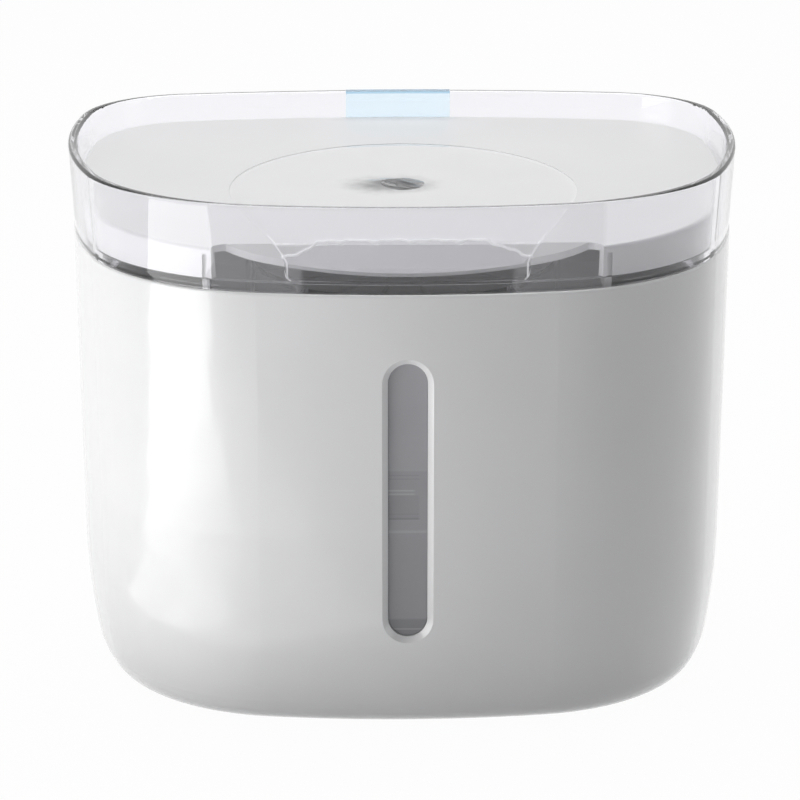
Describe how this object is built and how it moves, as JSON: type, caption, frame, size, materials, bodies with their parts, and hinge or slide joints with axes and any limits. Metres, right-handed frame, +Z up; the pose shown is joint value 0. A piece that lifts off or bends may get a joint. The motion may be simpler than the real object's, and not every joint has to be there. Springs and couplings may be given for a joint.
{
  "type": "pet water fountain",
  "caption": "Rounded countertop water fountain for pets: white tank with a window slot, clear drinking tray, sloping water plate, filter and a magnet-driven pump.",
  "frame": {"origin": "on the surface that the feet stand on, under the middle of the outline", "axes": "+Z up, -Y towards the front where the water spills, +X to the right seen from the front"},
  "size_m": [0.2218, 0.1759, 0.1743],
  "materials": {
    "white_shell": "glossy moulded ABS",
    "white_plate": "satin moulded ABS",
    "clear_tray": "clear polished plastic",
    "clear_pane": "clear plastic with a grey tint",
    "blue_guide": "clear blue light pipe",
    "grey_rubber": "soft moulded silicone",
    "foot_rubber": "soft moulded rubber",
    "screw_steel": "plated steel",
    "socket_black": "moulded black plastic",
    "contact_brass": "plated brass",
    "iron_core": "laminated iron",
    "copper_wire": "enamelled copper",
    "board_green": "solder mask",
    "lamp_white": "lamp lens",
    "ribbon_grey": "flat cable",
    "pump_grey": "satin moulded plastic",
    "foam_dark": "open foam",
    "ceramic": "ground ceramic",
    "magnet_dark": "sintered magnet",
    "riser_clear": "clear tube",
    "filter_white": "moulded plastic",
    "carbon": "granules",
    "pad_white": "pressed fibre"
  },
  "bodies": {
    "housing": {"housing": "white_shell", "window_pane": "clear_pane", "window_gasket": "grey_rubber", "base_cover": "white_shell", "base_gasket": "grey_rubber", "cover_screws": "screw_steel", "feet": "foot_rubber", "inlet_socket": "socket_black", "inlet_pin": "contact_brass", "stator_core": "iron_core", "stator_coils": "copper_wire", "control_board": "board_green", "lamp_window": "clear_pane", "lamp_board": "board_green", "lamps": "lamp_white", "lamp_ribbon": "ribbon_grey", "pump_case": "pump_grey", "pump_chamber": "pump_grey", "pump_foam": "foam_dark", "pump_lid": "pump_grey", "impeller_shaft": "ceramic", "shaft_bush": "grey_rubber", "riser_tube": "riser_clear", "riser_seal": "grey_rubber"},
    "impeller": {"impeller": "pump_grey", "rotor_magnet": "magnet_dark"},
    "tray": {"tray": "clear_tray", "light_guide": "blue_guide"},
    "filter": {"filter_case": "filter_white", "filter_media": "carbon", "filter_pad": "pad_white", "filter_lid": "filter_white"},
    "plate": {"plate": "white_plate"}
  },
  "joints": [
    {"name": "tray_lift", "type": "slide", "parent": "housing", "child": "tray", "axis": [0, 0, 1], "range_m": [0, 0.05]},
    {"name": "plate_lift", "type": "slide", "parent": "tray", "child": "plate", "axis": [0, 0, 1], "range_m": [0, 0.07]},
    {"name": "filter_lift", "type": "slide", "parent": "tray", "child": "filter", "axis": [0, 0, 1], "range_m": [0, 0.056]},
    {"name": "impeller_spin", "type": "hinge", "parent": "housing", "child": "impeller", "pos_m": [0, -0.004, 0.05], "axis": [0, 0, 1], "continuous": true}
  ],
  "couplings": [
    {"joint": "filter_lift", "follows": "plate_lift", "ratio": 0.8}
  ]
}
